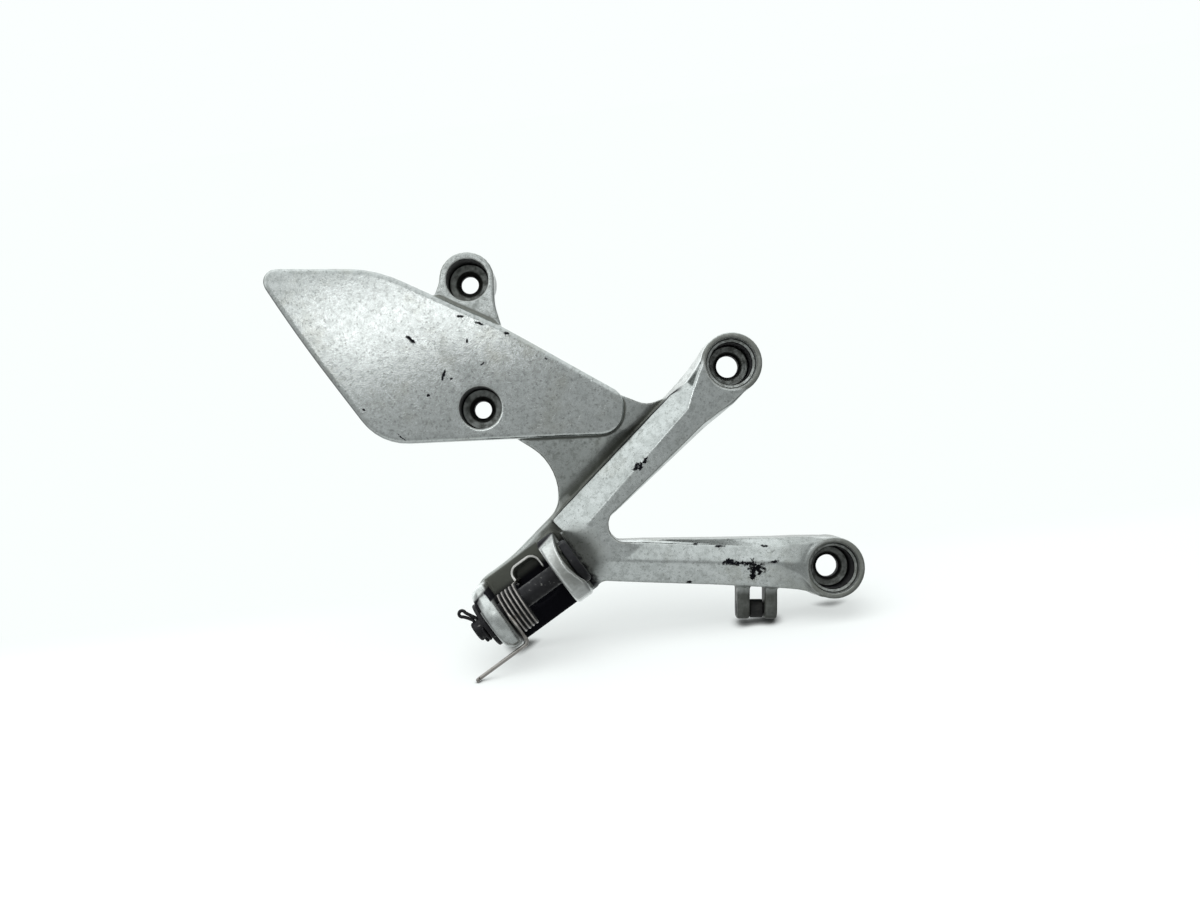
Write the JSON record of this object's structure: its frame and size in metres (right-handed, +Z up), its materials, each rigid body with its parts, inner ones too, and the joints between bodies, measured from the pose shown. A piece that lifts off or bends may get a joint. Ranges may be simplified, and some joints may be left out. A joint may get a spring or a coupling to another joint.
{
  "type": "motorcycle footrest hanger",
  "caption": "Die-cast aluminium footrest hanger with two frame bosses on a V of arms, a heel plate, a footrest clevis with pin and return spring, and a small fork.",
  "frame": {"origin": "upper frame bolt's axis on the boss face that seats on the motorcycle's frame", "axes": "+X from the heel plate towards the bosses, +Y from the outside towards the frame, +Z up as on the motorcycle"},
  "size_m": [0.2331, 0.047, 0.1646],
  "materials": {
    "cast_aluminium": "worn die-cast skin",
    "pin_steel": "blackened and greasy",
    "spring_steel": "bright drawn wire",
    "black_rubber": "matt"
  },
  "bodies": {
    "hanger": {"hanger_casting": "cast_aluminium", "return_spring": "spring_steel", "fork_pin": "pin_steel", "fork_bush": "black_rubber"},
    "pin": {"pivot_pin": "pin_steel", "pin_washer": "pin_steel", "split_pin": "pin_steel"}
  },
  "joints": [
    {"name": "pivot_pin_turn", "type": "hinge", "parent": "hanger", "child": "pin", "pos_m": [-0.0773, -0.033, -0.0882], "axis": [0.807, 0, 0.5906], "continuous": true}
  ]
}
